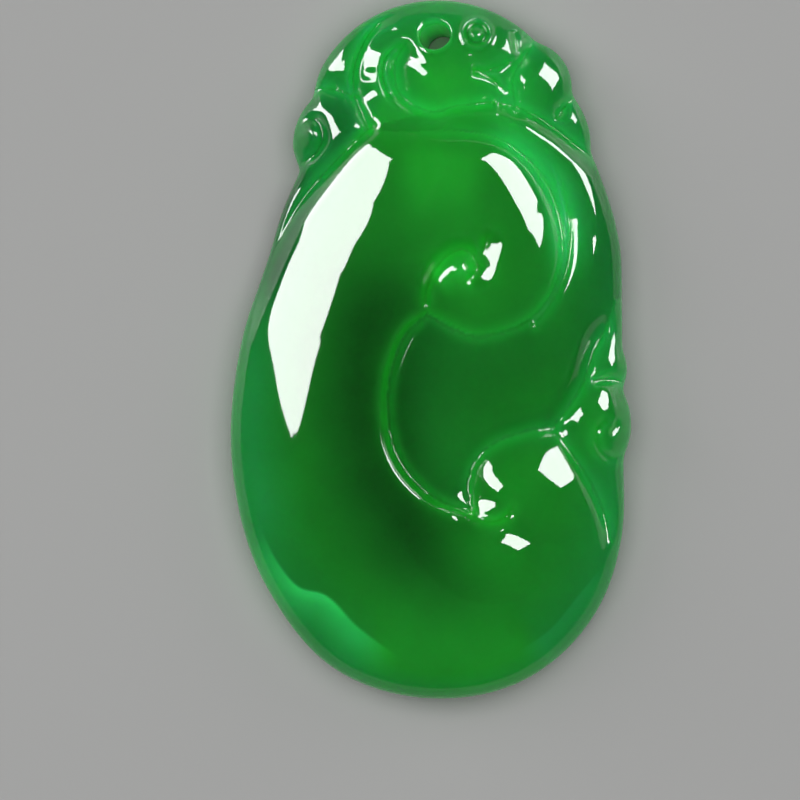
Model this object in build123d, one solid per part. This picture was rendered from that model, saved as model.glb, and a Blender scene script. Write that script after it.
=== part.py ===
from build123d import *

import os
from collections import namedtuple

import numpy as np

# Ruyi pendant, carved from one piece of green chalcedony. A plump scroll ends in two rolled volutes round a
# low leaf, and a beast's head at the top is bored for a cord. It lies on its flat back.
# Millimetres. X to the right, Y towards the head, Z up from the back, origin under the middle of the box.

# Driving sizes
widest_height = 2.4     # height of the widest line above the back
back_round = 1.6        # how far the back's rounded edge draws in
rim_round = 0.95        # rise of the rounded rim above the widest line
body_rise = 3.9         # rise of the dome inside the rim, on the body
body_reach = 11.5       # distance from the outline over which it rises
head_rise = 1.4         # the same on the head, which is thinner
head_reach = 4.0
head_from, head_to = 13.5, 19.0   # the body turns into the head between these heights on Y
dome_power = 2.5        # 2 is a parabola, and more is flatter on top
notch_softness = 0.08   # of the outline
dome_softness = 0.9     # of the outline that the dome rises from, whose notches are filled
lobe_fall = 3.0         # how steeply a lobe's radius falls off beside the lobe

bore_radius = 1.1       # cord hole
bore_x, bore_y = 0.2, 22.4        # middle of its mouth on the front
bore_slant_x, bore_slant_y = 0.14, -0.22    # how far it drifts for each mm down to the back
mouth_radius = 1.6      # polished dip round the mouth
mouth_depth = 0.15
groove_round = 0.25     # radius that polishing leaves in the bottom of a groove

eye_x, eye_y = 3.2, 22.6
eye_ball, eye_lid = 0.65, 1.05    # radii
eye_rise = 0.35

columns = 60            # grid of the carved front, across and along
rows = 112
back_rings = 3
edge_crowding = 0.9     # radians of a sine that draws the grid towards the rim
grid_softness = 0.12    # radians over which the grid inside averages the outline

# The outline is the furthest of a body, given by its radius about one point, and lobes, which are ellipses.
star_x, star_y = 0.0, 3.0

BodyRow = namedtuple("BodyRow", "angle radius")
body_rows = [
    BodyRow(0, 13.65), BodyRow(20, 14.3), BodyRow(36, 15.2), BodyRow(44, 15.9), BodyRow(60, 17.2),
    BodyRow(90, 18.5), BodyRow(115, 16.2), BodyRow(134, 13.6), BodyRow(147, 12.75), BodyRow(160, 12.25),
    BodyRow(172, 12.45), BodyRow(186, 13.45), BodyRow(200, 15.0), BodyRow(220, 18.55), BodyRow(240, 23.3),
    BodyRow(255, 26.7), BodyRow(270, 27.9), BodyRow(284, 27.4), BodyRow(300, 24.3), BodyRow(310, 21.2),
    BodyRow(320, 17.95), BodyRow(332, 15.5), BodyRow(345, 14.15),
]

Lobe = namedtuple("Lobe", "name x y long short turn")
lobes = [
    Lobe("crown", 0.45, 16.95, 9.0, 8.1, 0),
    Lobe("mane", -5.9, 20.0, 3.0, 1.75, 50),
    Lobe("mane_knob", -8.2, 15.6, 2.75, 1.6, 72),
    Lobe("ear", 9.7, 16.3, 2.9, 1.35, -66),
    Lobe("jowl", 7.9, 19.6, 2.6, 1.9, -55),
    Lobe("nose", 5.7, 22.2, 1.7, 0.9, -35),
    Lobe("bud_leaf", 12.4, -1.35, 2.1, 1.6, 90),
    Lobe("bud_curl", 12.3, -5.3, 3.2, 2.0, 90),
]

# Carved grooves. Each has a depth and, to the left and right of its path, a reach and a shape: near 1 the
# side swells up from the groove like a cushion, at 0 it is a hollow, and below 0 it is an even slope.
Groove = namedtuple("Groove", "name depth left left_shape right right_shape fade_in fade_out path")
grooves = [
    Groove("brow", 1.15, 2.2, 0.85, 1.9, 0.8, 0.12, 0,
           [(4.2, 17.7), (6.2, 17.3), (8.1, 16.3), (10.2, 14.7), (11.6, 13.6)]),
    Groove("jaw", 1.4, 3.2, 0.95, 1.1, 0.3, 0.12, 0,
           [(-1.0, 22.1), (-1.9, 21.3), (-2.6, 20.2), (-2.4, 18.6), (-1.3, 17.5), (0.4, 17.0), (1.6, 17.4),
            (4.2, 17.7)]),
    Groove("lock", 0.9, 0.5, 0.8, 0.35, 0.9, 0.35, 0.2,
           [(-1.4, 21.8), (-2.5, 21.6), (-3.3, 20.8), (-3.5, 19.6), (-3.1, 18.4), (-2.4, 17.6)]),
    Groove("outer_lock", 0.6, 1.7, 0.2, 0.4, 0.5, 0.35, 0.15,
           [(-1.1, 22.2), (-1.7, 22.7), (-2.8, 22.8), (-3.9, 22.3), (-4.6, 21.4), (-4.9, 20.2),
            (-4.9, 18.8)]),
    Groove("nape", 1.2, 0.8, 0.5, 0.6, 0.8, 0.4, 0,
           [(-2.0, 24.0), (-3.0, 23.8), (-3.9, 23.2), (-4.7, 22.2), (-5.4, 20.6), (-5.6, 19.3),
            (-5.5, 18.1)]),
    Groove("mane_foot", 1.2, 1.7, 0.9, 1.8, 0.9, 0, 0,
           [(-5.5, 18.1), (-6.9, 18.6), (-8.6, 18.6)]),
    Groove("knob_neck", 1.2, 0.5, 0.5, 1.8, 0.9, 0, 0,
           [(-5.5, 18.1), (-5.0, 17.0), (-4.5, 15.7)]),
    Groove("knob_side", 1.1, 1.5, 0.9, 1.3, 0.3, 0, 0.6,
           [(-4.5, 15.7), (-6.9, 13.4), (-9.4, 10.5), (-11.0, 7.5), (-12.2, 4.0), (-13.1, -1.0)]),
    Groove("knob_curl", 0.7, 0.8, 0.8, 0.7, 0.6, 0, 0.3,
           [(-9.3, 13.4), (-8.3, 14.0), (-7.8, 15.1), (-8.2, 16.4), (-9.0, 16.4), (-8.9, 15.6)]),
    Groove("muzzle", 1.2, 1.8, 0.9, 1.2, 0.8, 0, 0,
           [(7.4, 22.3), (6.7, 21.0), (5.9, 19.7), (5.8, 18.6), (6.0, 17.3)]),
    Groove("ear", 1.1, 1.5, 0.9, 1.5, 0.9, 0, 0.2,
           [(10.6, 18.3), (9.6, 17.5), (8.7, 16.2)]),
    Groove("lips", 0.6, 0.6, 0.7, 0.6, 0.8, 0.1, 0.1,
           [(2.8, 20.0), (3.8, 19.9), (4.9, 20.3), (5.8, 20.7)]),
    Groove("band_line", 1.1, 1.9, 0.6, 0.6, 0.5, 0.4, 0.08,
           [(8.0, 14.5), (9.0, 12.6), (9.6, 10.4), (9.85, 8.8), (9.7, 6.5), (9.1, 4.5), (8.0, 2.7),
            (6.6, 1.3)]),
    Groove("volute", 1.2, 1.2, 0, 1.3, 0.8, 0.1, 0,
           [(-0.3, 2.6), (-0.4, 3.9), (0.1, 5.4), (1.0, 6.6), (2.0, 7.1), (2.8, 6.9), (3.2, 6.1)]),
    Groove("volute_hook", 0.9, 1.3, -1, 1.0, 0.8, 0.25, 0.25,
           [(4.2, 8.9), (3.8, 7.8), (3.45, 6.6), (3.25, 5.8), (2.9, 5.3), (2.4, 5.0), (2.1, 5.3)]),
    Groove("roll_curl", 1.1, 1.0, 0.7, 1.0, 0.8, 0, 0.4,
           [(2.9, -11.5), (3.4, -12.0), (4.3, -12.2), (5.2, -11.9), (5.6, -11.2), (5.3, -10.5)]),
    Groove("roll_side", 1.1, 2.0, 0.3, 1.5, 0.8, 0, 0.35,
           [(8.7, -5.6), (9.7, -7.1), (11.0, -9.0), (12.0, -11.0), (12.5, -13.0), (12.3, -15.0)]),
    Groove("leaf_foot", 1.1, 1.0, 0.8, 1.4, 0.85, 0.1, 0,
           [(11.3, -2.3), (12.4, -2.1), (14.2, -2.3)]),
    Groove("curl_ring", 0.6, 0.8, 0.7, 1.0, 0.8, 0.15, 0,
           [(13.0, -4.9), (12.2, -5.1), (11.7, -6.0), (12.0, -7.1), (12.9, -7.7), (14.2, -7.4)]),
]

# The shores of the low leaf, in order round it. The reach and shape are those outside it and inside it.
Shore = namedtuple("Shore", "name depth outside outside_shape inside inside_shape fade_in fade_out path")
shores = [
    Shore("neck_band", 1.5, 5.0, 0.85, 2.0, 0.2, 0.3, 0,
          [(-4.5, 15.7), (-1.7, 15.5), (1.0, 15.6), (3.5, 15.4), (5.4, 14.7), (7.2, 13.2), (8.5, 11.2),
           (9.2, 8.8), (9.3, 6.4), (8.7, 4.4), (7.6, 2.8), (6.2, 1.8), (4.4, 1.2), (2.5, 1.2), (-0.3, 2.6)]),
    Shore("scroll_wall", 1.7, 1.1, 0.9, 16.0, -1, 0, 0,
          [(-0.3, 2.6), (-1.7, 1.4), (-2.6, -0.4), (-3.1, -2.6), (-3.1, -5.2), (-2.4, -7.7), (-0.8, -9.8),
           (1.0, -11.0), (2.9, -11.5)]),
    Shore("lower_roll", 1.9, 5.2, 0.75, 3.0, 0, 0, 0,
          [(2.9, -11.5), (2.7, -9.6), (3.2, -7.9), (4.7, -6.6), (7.0, -5.8), (8.7, -5.6)]),
    Shore("bud_stem", 1.5, 2.2, 0.8, 2.5, 0, 0, 0.3,
          [(8.7, -5.6), (10.0, -3.8), (10.9, -2.2), (11.6, 0.0), (12.5, 1.7), (13.1, 3.6)]),
]
leaf_close = [(16.0, 3.6), (16.0, 14.0), (12.0, 14.0), (10.2, 14.7), (8.1, 16.3), (6.2, 17.3), (4.2, 17.7),
              (1.0, 17.2), (-4.5, 15.8)]

# Swellings with an elliptical foot
Knoll = namedtuple("Knoll", "name x y long short turn rise")
knolls = [
    Knoll("skull", 1.2, 20.0, 7.6, 4.6, 0, 1.0),
    Knoll("cheek", 1.4, 18.8, 4.2, 3.4, 0, 0.7),
    Knoll("temple", -0.6, 20.2, 4.6, 3.0, 0, 0.25),
    Knoll("bud_curl", 12.2, -5.3, 3.2, 2.6, 90, 1.0),
    Knoll("mane_knob", -8.6, 15.4, 1.0, 1.0, 0, 0.35),
    Knoll("lower_roll", 7.2, -9.8, 4.8, 3.6, -35, 0.6),
    Knoll("roll_collar", 2.6, -14.7, 6.2, 3.8, -30, 1.3),
    Knoll("roll_bud", 4.2, -10.4, 1.0, 0.8, 0, 0.15),
    Knoll("volute_bud", 2.1, 5.6, 1.0, 0.9, 0, 0.25),
    Knoll("shoulder", 1.5, 9.0, 9.5, 8.5, 90, 0.28),
    Knoll("dome_top", -0.4, 12.5, 3.7, 3.2, 0, 0.26),
    Knoll("flank", -5.2, -5.0, 8.5, 4.6, 90, 0.14),
    Knoll("flange", 10.6, 3.5, 8.5, 4.5, 90, 0.4),
    Knoll("flange_top", 10.6, 12.6, 3.8, 2.6, -50, 0.22),
]


def smooth_line(points, steps=10):
    """Catmull-Rom curve through the points, with steps pieces between one point and the next."""
    p = np.array(points, float)
    p = np.vstack([2 * p[0] - p[1], p, 2 * p[-1] - p[-2]])
    spans = len(p) - 3
    t = np.linspace(0, spans, spans * steps + 1)
    k = np.minimum(t.astype(int), spans - 1)
    u = (t - k)[:, None]
    a, b, c, d = p[k], p[k + 1], p[k + 2], p[k + 3]
    linear = 2 * b + (c - a) * u
    square = (2 * a - 5 * b + 4 * c - d) * u ** 2
    cube = (3 * b - a - 3 * c + d) * u ** 3
    return (linear + square + cube) / 2


def body_radius(angle):
    """Radius of the body at an angle: a smooth closed curve through the body rows."""
    table = np.array(body_rows, float)
    turn = 2 * np.pi
    knots = np.radians(table[:, 0])
    knots = np.concatenate([knots - turn, knots, knots + turn])
    radius = np.tile(table[:, 1], 3)
    slope = np.gradient(radius, knots)
    angle = np.mod(angle, turn)
    k = np.clip(np.searchsorted(knots, angle, side="right") - 1, 0, len(knots) - 2)
    step = knots[k + 1] - knots[k]
    u = (angle - knots[k]) / step
    start = (1 + 2 * u) * (1 - u) ** 2 * radius[k] + u * (1 - u) ** 2 * step * slope[k]
    end = u * u * (3 - 2 * u) * radius[k + 1] + u * u * (u - 1) * step * slope[k + 1]
    return start + end


def lobe_radius(angle, lobe):
    """Where the ray at an angle leaves a lobe. It falls off steeply beside the lobe, without a jump."""
    cos, sin = np.cos(np.radians(lobe.turn)), np.sin(np.radians(lobe.turn))
    away_x, away_y = star_x - lobe.x, star_y - lobe.y
    px = (away_x * cos + away_y * sin) / lobe.long
    py = (-away_x * sin + away_y * cos) / lobe.short
    qx = (np.cos(angle) * cos + np.sin(angle) * sin) / lobe.long
    qy = (-np.cos(angle) * sin + np.sin(angle) * cos) / lobe.short
    square = qx ** 2 + qy ** 2
    half = px * qx + py * qy
    root = half ** 2 - square * (px ** 2 + py ** 2 - 1)
    beside = np.where(root > 0, 1, -lobe_fall)
    return (beside * np.sqrt(np.abs(root)) - half) / square


def outline_radius(angle, softness=notch_softness):
    """The furthest of the body and the lobes, with the notches between them a little rounded."""
    reach = np.array([body_radius(angle)] + [lobe_radius(angle, lobe) for lobe in lobes])
    top = reach.max(axis=0)
    return top + softness * np.log(np.exp((reach - top) / softness).sum(axis=0))


def outline_points(softness=notch_softness, count=900):
    angle = np.linspace(0, 2 * np.pi, count, endpoint=False)
    radius = outline_radius(angle, softness)
    return np.stack([star_x + radius * np.cos(angle), star_y + radius * np.sin(angle)], axis=1)


def nearest(path, x, y):
    """Distance to a path, the side and the place along it, from 0 to 1.

    The side is 1 on the left and -1 on the right, and beyond an end it is the sine of the angle there.
    """
    start, run = path[:-1], np.diff(path, axis=0)
    length = np.hypot(run[:, 0], run[:, 1])
    before = np.cumsum(length) - length
    best = np.full(x.shape, np.inf)
    side = np.zeros(x.shape)
    along = np.zeros(x.shape)
    for (ax, ay), (rx, ry), long, done in zip(start, run, length, before):
        dx, dy = x - ax, y - ay
        u = np.clip((dx * rx + dy * ry) / long ** 2, 0, 1)
        gap = np.hypot(dx - u * rx, dy - u * ry)
        near = gap < best
        best = np.where(near, gap, best)
        side = np.where(near, (rx * dy - ry * dx) / (long * np.maximum(gap, 1e-9)), side)
        along = np.where(near, (done + u * long) / length.sum(), along)
    return best, side, along


def inside_polygon(polygon, x, y):
    odd = np.zeros(x.shape, bool)
    for (ax, ay), (bx, by) in zip(polygon, np.roll(polygon, -1, axis=0)):
        if ay != by:
            crossing = (bx - ax) * (y - ay) / (by - ay) + ax
            odd ^= ((ay > y) != (by > y)) & (x < crossing)
    return odd


def ease(value):
    t = np.clip(value, 0, 1)
    return t * t * (3 - 2 * t)


def side_profile(gap, reach, shape):
    """1 in the groove, 0 at its reach: a cushion, a hollow or an even slope."""
    u = np.clip(1 - gap / reach, 0, 1)
    if shape < 0:
        return u ** 1.2
    cushion = 1 - np.sqrt(1 - u * u)
    return (1 - shape) * u ** 2.2 + shape * cushion


def groove_depth(row, side, gap, along):
    """Depth that one groove or shore cuts: columns 2 to 5 of its row are the two sides' reach and shape."""
    _, depth, reach_a, shape_a, reach_b, shape_b, fade_in, fade_out, _ = row
    gap = np.hypot(gap, groove_round) - groove_round
    first, second = side_profile(gap, reach_a, shape_a), side_profile(gap, reach_b, shape_b)
    cut = second + (first - second) * ease((side + 1) / 2)
    if fade_in:
        cut = cut * ease(along / fade_in)
    if fade_out:
        cut = cut * ease((1 - along) / fade_out)
    return depth * cut


def carving(x, y):
    """Depth of all the carving: the cube root of the sum of cubes, so that grooves merge smoothly."""
    cubes = np.zeros(x.shape)
    for groove in grooves:
        gap, side, along = nearest(smooth_line(groove.path), x, y)
        cubes += groove_depth(groove, side, gap, along) ** 3
    leaf = np.vstack([smooth_line(shore.path) for shore in shores] + [np.array(leaf_close)])
    side = np.where(inside_polygon(leaf, x, y), -1, 1)
    for shore in shores:
        gap, _, along = nearest(smooth_line(shore.path), x, y)
        cubes += groove_depth(shore, side, gap, along) ** 3
    return np.cbrt(cubes)


def rim_gap(x, y, softness):
    """Distance to the nearest point of the outline."""
    gap = np.full(x.shape, np.inf)
    for ox, oy in outline_points(softness):
        gap = np.minimum(gap, np.hypot(x - ox, y - oy))
    return gap


def front_height(x, y):
    """Height of the carved front over the back: rounded rim, dome, carving, knolls, eye and cord mouth."""
    edge = rim_gap(x, y, notch_softness)
    dome_edge = rim_gap(x, y, dome_softness)
    head = ease((y - head_from) / (head_to - head_from))
    rise = body_rise + (head_rise - body_rise) * head
    reach = body_reach + (head_reach - body_reach) * head
    rim = rim_round * np.sqrt(1 - np.exp(-2 * edge / rim_round))
    dome = rise * (1 - np.clip(1 - dome_edge / reach, 0, 1) ** dome_power)
    height = widest_height + rim + dome
    height = height - carving(x, y) * (0.35 + 0.65 * ease(edge / 1.5))
    for knoll in knolls:
        cos, sin = np.cos(np.radians(knoll.turn)), np.sin(np.radians(knoll.turn))
        u = ((x - knoll.x) * cos + (y - knoll.y) * sin) / knoll.long
        v = ((y - knoll.y) * cos - (x - knoll.x) * sin) / knoll.short
        height = height + knoll.rise * np.clip(1 - u * u - v * v, 0, 1) ** 1.5
    from_eye = np.hypot(x - eye_x, y - eye_y)
    height = height + eye_rise * np.sqrt(np.clip(1 - (from_eye / eye_ball) ** 2, 0, 1))
    height = height + eye_rise / 2 * np.exp(-((from_eye - eye_lid) / 0.2) ** 2)
    from_bore = np.hypot(x - bore_x, y - bore_y)
    return height - mouth_depth * np.clip(1 - (from_bore / mouth_radius) ** 2, 0, 1) ** 1.5


def front_grid():
    """Grid points of the front: a square bent into a disc, then stretched to the outline.

    Inside, the grid follows the outline averaged over a bell of angles, so that the notches don't crease it.
    """
    across = np.sin(np.linspace(-1, 1, columns) * edge_crowding) / np.sin(edge_crowding)
    upward = np.sin(np.linspace(-1, 1, rows) * edge_crowding) / np.sin(edge_crowding)
    a, b = np.meshgrid(across, upward, indexing="ij")
    disc_x = a * np.sqrt(1 - b * b / 2)
    disc_y = b * np.sqrt(1 - a * a / 2)
    angle = np.arctan2(disc_y * 2, disc_x)
    share = np.hypot(disc_x, disc_y)
    sharp = outline_radius(angle)
    offsets = np.linspace(-2.5, 2.5, 11)
    spread = [outline_radius(angle + grid_softness * k, dome_softness) for k in offsets]
    soft = np.average(spread, axis=0, weights=np.exp(-offsets ** 2 / 2))
    radius = share * (soft + (sharp - soft) * share ** 4)
    x = star_x + radius * np.cos(angle)
    y = star_y + radius * np.sin(angle)
    return x, y, front_height(x, y)


def rim_order():
    """Grid indices of the boundary, once round counter-clockwise."""
    bottom = [(i, 0) for i in range(columns - 1)]
    right = [(columns - 1, j) for j in range(rows - 1)]
    top = [(i, rows - 1) for i in range(columns - 1, 0, -1)]
    left = [(0, j) for j in range(rows - 1, 0, -1)]
    return bottom + right + top + left


def facet(a, b, c):
    return Face(Wire.make_polygon([a, b, c]))


def carved_stone():
    """The stone as facets: the front, the back's rounded edge and the flat back.

    Each cell of the front is split along its more level diagonal, so that edges run along the grooves.
    The four corner cells, whose outer sides lie along the outline, are split from their corner.
    """
    x, y, z = front_grid()
    outline = outline_points()
    middle_x, middle_y = (outline.min(axis=0) + outline.max(axis=0)) / 2
    x, y = x - middle_x, y - middle_y
    top = [[Vector(x[i, j], y[i, j], z[i, j]) for j in range(rows)] for i in range(columns)]
    facets = []
    for i in range(columns - 1):
        for j in range(rows - 1):
            a, b, c, d = top[i][j], top[i + 1][j], top[i + 1][j + 1], top[i][j + 1]
            in_corner = i in (0, columns - 2) and j in (0, rows - 2)
            from_corner = (i == 0) == (j == 0)
            level = abs(a.Z - c.Z) < abs(b.Z - d.Z)
            if from_corner if in_corner else level:
                facets += [facet(a, b, c), facet(a, c, d)]
            else:
                facets += [facet(a, b, d), facet(b, c, d)]
    loop = [top[i][j] for i, j in rim_order()]
    hub = Vector(star_x - middle_x, star_y - middle_y, 0)
    for ring in range(1, back_rings + 1):
        turn = np.pi / 2 * ring / back_rings
        lower = []
        for i, j in rim_order():
            out = Vector(top[i][j].X, top[i][j].Y, 0) - hub
            inset = back_round * (1 - np.cos(turn))
            spot = hub + out * ((out.length - inset) / out.length)
            lower.append(Vector(spot.X, spot.Y, top[i][j].Z * (1 - np.sin(turn))))
        for k in range(len(loop)):
            after = (k + 1) % len(loop)
            facets += [facet(loop[k], lower[k], lower[after]), facet(loop[k], lower[after], loop[after])]
        loop = lower
    facets.append(Face(Wire.make_polygon(loop)))
    return Solid(Shell(facets)), middle_x, middle_y


def cord_bore(middle_x, middle_y, depth):
    """Cylinder through the head along the slant, from well above the front to below the back."""
    run = Vector(-bore_slant_x, -bore_slant_y, 1).normalized()
    mouth = Vector(bore_x - middle_x, bore_y - middle_y, depth)
    plane = Plane(origin=mouth, z_dir=run)
    return plane * Cylinder(bore_radius, 30), mouth, run


stone, middle_x, middle_y = carved_stone()
mouth_height = float(front_height(np.array([bore_x]), np.array([bore_y]))[0])
bore, mouth, run = cord_bore(middle_x, middle_y, mouth_height)
pendant = stone - bore
pendant.label = "ruyi_pendant"

os.makedirs("parts", exist_ok=True)
export_step(pendant, "parts/ruyi_pendant.step", write_pcurves=False)

box = pendant.bounding_box()
print("box", box.min, box.max)
print("volume mm3", round(pendant.volume, 1), "valid", pendant.is_valid)
print("bore mouth", mouth, "direction", run, "length", round(mouth_height / run.Z, 2))
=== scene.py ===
import bpy
import numpy as np
from mathutils import Matrix, Vector


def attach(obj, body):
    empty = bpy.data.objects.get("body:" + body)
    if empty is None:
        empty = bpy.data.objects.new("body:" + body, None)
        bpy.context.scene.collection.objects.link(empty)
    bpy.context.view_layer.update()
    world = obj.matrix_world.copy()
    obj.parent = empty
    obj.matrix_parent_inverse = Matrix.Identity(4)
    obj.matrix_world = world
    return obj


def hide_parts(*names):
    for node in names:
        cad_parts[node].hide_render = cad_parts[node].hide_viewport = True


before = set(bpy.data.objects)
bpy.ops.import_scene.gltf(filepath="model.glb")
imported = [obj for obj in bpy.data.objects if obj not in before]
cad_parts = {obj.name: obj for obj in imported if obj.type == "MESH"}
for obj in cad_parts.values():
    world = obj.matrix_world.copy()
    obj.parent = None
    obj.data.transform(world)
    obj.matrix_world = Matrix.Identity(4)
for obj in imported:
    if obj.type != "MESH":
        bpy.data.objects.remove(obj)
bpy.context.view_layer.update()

mm = 0.001

# Green chalcedony ruyi pendant on its flat back, seen from straight above: a plump scroll with two rolled
# volutes round a low leaf, and a beast's head at the top, bored for a cord.
# The tables are in millimetres, x to the right and y towards the head; the mesh is in metres.

pendant = {
    "hub": (0.0, 3.0),             # the outline is given by its radius about this point
    "outline": [                   # angle in degrees, radius
        (0, 13.65), (20, 14.3), (36, 15.2), (44, 15.9), (60, 17.2), (90, 18.5), (115, 16.2), (134, 13.6),
        (147, 12.75), (160, 12.25), (172, 12.45), (186, 13.45), (200, 15.0), (220, 18.55), (240, 23.3),
        (255, 26.7), (270, 27.9), (284, 27.4), (300, 24.3), (310, 21.2), (320, 17.95), (332, 15.5),
        (345, 14.15)],
    "lobes": [                     # ellipses that stand out past it: x, y, long half, short half, turn
        ("crown", 0.45, 16.95, 9.0, 8.1, 0),
        ("mane", -5.9, 20.0, 3.0, 1.75, 50),
        ("maneKnob", -8.2, 15.6, 2.75, 1.6, 72),
        ("ear", 9.7, 16.3, 2.9, 1.35, -66),
        ("jowl", 7.9, 19.6, 2.6, 1.9, -55),
        ("nose", 5.7, 22.2, 1.7, 0.9, -35),
        ("budLeaf", 12.4, -1.35, 2.1, 1.6, 90),
        ("budCurl", 12.3, -5.3, 3.2, 2.0, 90)],
    "rim": (0.08, 0.014),          # softness of the outline's notches, and radians over which it is averaged
    "dome": (0.9, 0.04),           # the same for the line that the dome rises from, whose notches are filled
    "outlineSteps": 7200,          # angles at which the outline is worked out
    "outlinePoints": 1800,         # corners of it that the distance to the rim is taken from
    "lobeFall": 3.0,               # steepness of the outline's fall beside a lobe
    "widestHeight": 2.4,           # of the widest line above the back
    "backRound": 1.6,              # radius of the edge below it
    "rimRound": 0.95,              # and above it
    "bodyRise": 3.9, "bodyReach": 11.5,        # height of the dome, and its distance from the rim
    "headRise": 1.4, "headReach": 4.0,
    "domePower": 2.5,
    "headFrom": 13.5, "headTo": 19.0,          # y over which the body turns into the head
    "slopePower": 1.2,             # of the side of a carved line that slopes up from it
    "hollowPower": 2.2,            # of a hollow side
    "rimCut": 0.35,                # share of a line's depth that is cut at the rim
    "rimCutReach": 1.5,            # from the rim to where it is cut in full
    "polish": 0.16,                # radius left in the bottom of a groove
    "glowReach": 0.55,             # of the painted glow beside a carved line, lighter colour that stands in for light gathering there
    "glowDepth": 1.2,              # depth from which a line's painted glow grows no more
    "polishedAway": 0.03,          # taken off the cut shape all round
    "cells": (200, 350),           # of the front, even numbers; the back has half as many each way
    "edgeCrowding": 0.75,          # radians of a sine that draws the grid to the rim
    "gridSoftness": 0.12,          # radians over which the grid inside averages the outline
    "backRings": 8,
}

# Carved lines: name, depth, reach and shape to the left of the path, the same to the right, length of the
# fade at each end, path. Shape near 1 swells up from the line like a cushion, 0 is a hollow, below 0 a slope.
grooves = [
    ("brow", 1.15, 2.2, 0.85, 1.4, 0.8, 0.12, 0,
     [(4.2, 17.7), (6.2, 17.3), (8.1, 16.3), (10.2, 14.7), (11.6, 13.6)]),
    ("jaw", 1.4, 2.8, 0.9, 1.1, 0.3, 0.12, 0,
     [(-1.5, 22.3), (-2.2, 21.3), (-2.6, 20.2), (-2.4, 18.6), (-1.3, 17.5), (0.4, 17.0), (1.6, 17.4),
      (4.2, 17.7)]),
    ("lock", 0.9, 0.5, 0.8, 0.35, 0.9, 0.35, 0.2,
     [(-1.4, 21.8), (-2.5, 21.6), (-3.3, 20.8), (-3.5, 19.6), (-3.1, 18.4), (-2.4, 17.6)]),
    ("outerLock", 0.42, 1.5, -1, 0.4, 0.5, 0.5, 0.15,
     [(-1.1, 22.2), (-1.7, 22.7), (-2.8, 22.8), (-3.9, 22.3), (-4.6, 21.4), (-4.9, 20.2), (-4.9, 18.8)]),
    ("nape", 1.2, 0.8, 0.5, 0.6, 0.8, 0.4, 0,
     [(-2.0, 24.0), (-3.0, 23.8), (-3.9, 23.2), (-4.7, 22.2), (-5.4, 20.6), (-5.6, 19.3), (-5.5, 18.1)]),
    ("maneFoot", 1.2, 1.7, 0.9, 1.8, 0.9, 0, 0,
     [(-5.5, 18.1), (-6.9, 18.6), (-8.6, 18.6)]),
    ("knobNeck", 1.2, 0.5, 0.5, 1.8, 0.9, 0, 0,
     [(-5.5, 18.1), (-5.0, 17.0), (-4.5, 15.7)]),
    ("knobSide", 1.1, 1.32, 0.9, 1.3, 0.3, 0, 0.6,
     [(-4.5, 15.7), (-6.9, 13.4), (-9.4, 10.5), (-11.0, 7.5), (-12.2, 4.0), (-13.1, -1.0)]),
    ("knobCurl", 0.7, 0.8, 0.8, 0.7, 0.6, 0, 0.3,
     [(-9.3, 13.4), (-8.3, 14.0), (-7.8, 15.1), (-8.2, 16.4), (-9.0, 16.4), (-8.9, 15.6)]),
    ("muzzle", 1.2, 1.8, 0.9, 1.2, 0.8, 0, 0,
     [(7.4, 22.3), (6.7, 21.0), (5.9, 19.7), (5.8, 18.6), (6.0, 17.3)]),
    ("ear", 1.1, 1.5, 0.9, 1.5, 0.9, 0, 0.2,
     [(10.6, 18.3), (9.6, 17.5), (8.7, 16.2)]),
    ("noseLine", 0.5, 0.5, 0.6, 0.5, 0.6, 0.1, 0.2,
     [(5.9, 22.9), (6.0, 22.1), (6.1, 20.9)]),
    ("lips", 0.6, 0.6, 0.7, 0.6, 0.8, 0.1, 0.1,
     [(2.8, 20.0), (3.8, 19.9), (4.9, 20.3), (5.8, 20.7)]),
    ("lowerLip", 0.6, 0.5, 0.5, 0.6, 0.7, 0.1, 0.1,
     [(2.8, 19.9), (4.0, 19.5), (4.9, 18.8), (5.5, 18.2)]),
    ("bandLine", 1.3, 2.6, 0.3, 0.6, 0.5, 0.4, 0.08,
     [(8.0, 14.5), (9.0, 12.6), (9.6, 10.4), (9.85, 8.8), (9.7, 6.5), (9.1, 4.5), (8.0, 2.7), (6.6, 1.3)]),
    ("volute", 1.2, 1.2, 0, 1.3, 0.8, 0.1, 0,
     [(-0.3, 2.6), (-0.4, 3.9), (0.1, 5.4), (1.0, 6.6), (2.0, 7.1), (2.8, 6.9), (3.2, 6.1)]),
    ("voluteHook", 0.9, 1.3, -1, 1.0, 0.8, 0.25, 0.25,
     [(4.2, 8.9), (3.8, 7.8), (3.45, 6.6), (3.25, 5.8), (2.9, 5.3), (2.4, 5.0), (2.1, 5.3)]),
    ("rollCurl", 1.1, 1.0, 0.7, 1.0, 0.8, 0, 0.4,
     [(2.9, -11.5), (3.4, -12.0), (4.3, -12.2), (5.2, -11.9), (5.6, -11.2), (5.3, -10.5)]),
    ("rollSide", 1.1, 2.0, 0.3, 0.8, 0.8, 0, 0.35,
     [(8.7, -5.6), (9.7, -7.1), (11.0, -9.0), (12.0, -11.0), (12.5, -13.0), (12.3, -15.0)]),
    ("leafFoot", 1.1, 1.0, 0.8, 0.9, 0.85, 0.1, 0,
     [(11.3, -2.3), (12.4, -2.1), (14.2, -2.3)]),
    ("curlRing", 0.6, 0.8, 0.7, 1.0, 0.8, 0.15, 0,
     [(13.0, -4.9), (12.2, -5.1), (11.7, -6.0), (12.0, -7.1), (12.9, -7.7), (14.2, -7.4)]),
    ("curlHook", 0.35, 0.4, 0.7, 0.4, 0.7, 0.2, 0.2,
     [(12.9, -5.1), (13.2, -5.3), (12.9, -5.8), (12.6, -6.0)]),
]

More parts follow.
